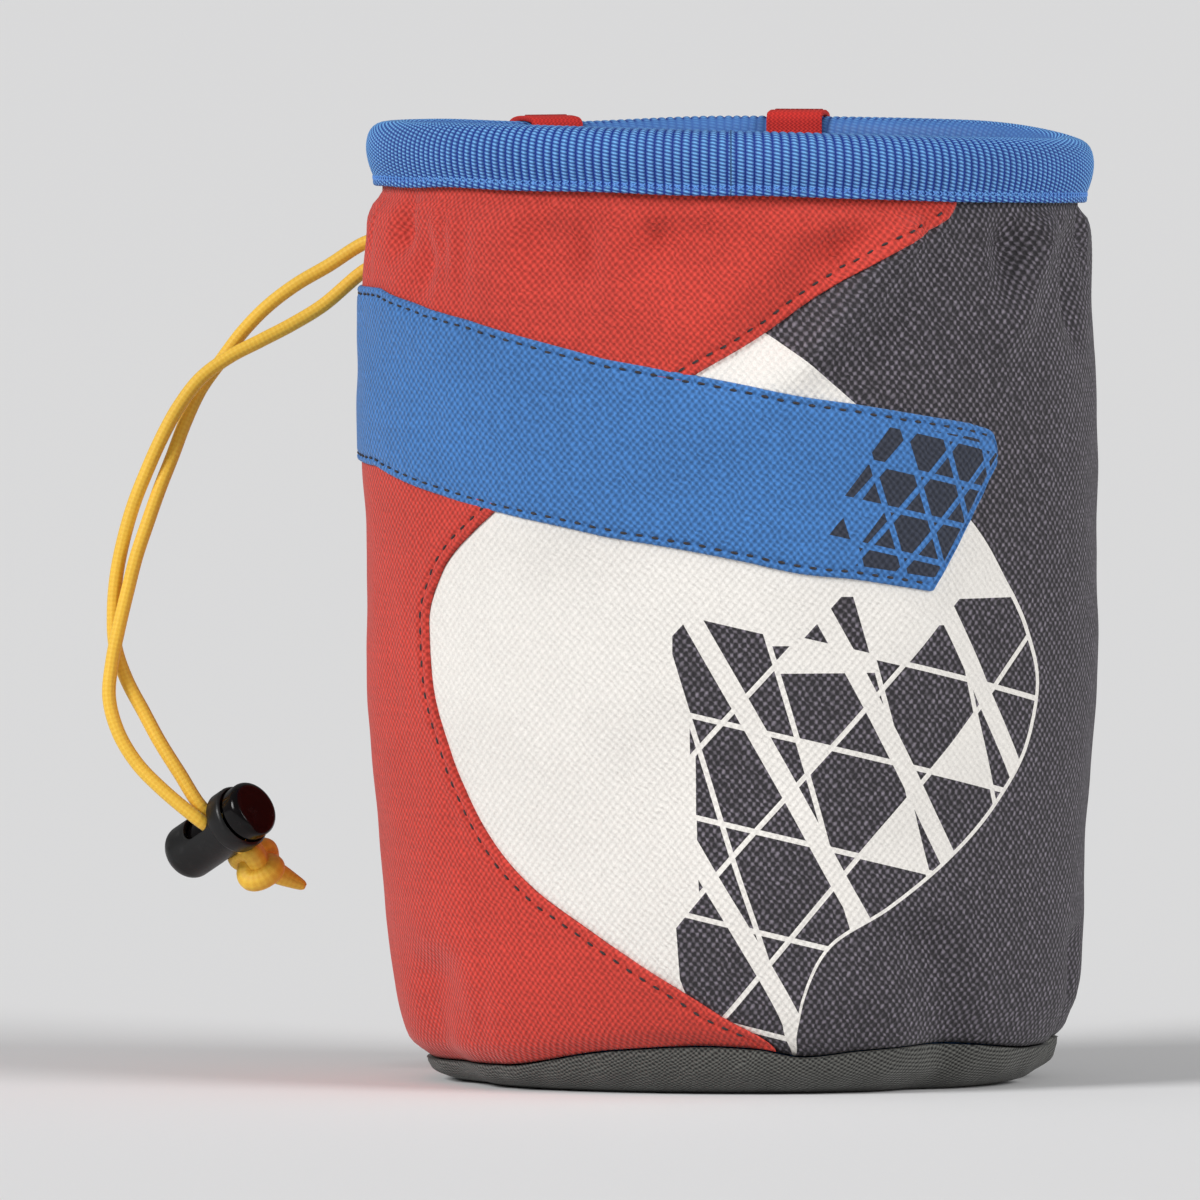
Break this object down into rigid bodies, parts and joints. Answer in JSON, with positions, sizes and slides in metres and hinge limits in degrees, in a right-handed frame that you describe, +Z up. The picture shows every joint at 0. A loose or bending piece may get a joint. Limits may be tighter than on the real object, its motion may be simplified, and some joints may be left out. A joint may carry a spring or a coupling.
{
  "type": "climbing chalk bag",
  "caption": "Oval cloth chalk bag with taped open rim, lining, sewn front band, belt loops at the back and a closing cord with a sprung cord lock and a knot.",
  "frame": {"origin": "middle of the flat underside on which the bag stands", "axes": "+Z up through the open rim, -Y towards the front with the band's slanted end, -X towards the side with the cord"},
  "size_m": [0.1685, 0.1131, 0.1628],
  "materials": {
    "body_panel": "charcoal plain weave with a pale print",
    "side_panel": "red plain weave",
    "blue_band": "blue plain weave, topstitched",
    "base_panel": "olive-grey close weave",
    "lining": "smooth blue cloth",
    "rim_binding": "blue ribbed tape",
    "webbing": "red woven webbing",
    "cord": "yellow braided cord",
    "lock_barrel": "black moulded plastic, half matt",
    "lock_button": "black moulded plastic, glossy"
  },
  "bodies": {
    "bag": {"body_panel": "body_panel", "side_panel": "side_panel", "blue_band": "blue_band", "base_panel": "base_panel", "lining": "lining", "rim_binding": "rim_binding", "belt_loop_left": "webbing", "belt_loop_right": "webbing", "cord_upper": "cord", "cord_lower": "cord", "lock_barrel": "lock_barrel", "cord_knot": "cord"},
    "button": {"lock_button": "lock_button"}
  },
  "joints": [
    {"name": "button_press", "type": "slide", "parent": "bag", "child": "button", "axis": [-0.6389, 0.6159, -0.4609], "range_m": [0, 0.003], "stiffness_N_per_m": 1500, "springref_m": -0.003}
  ]
}
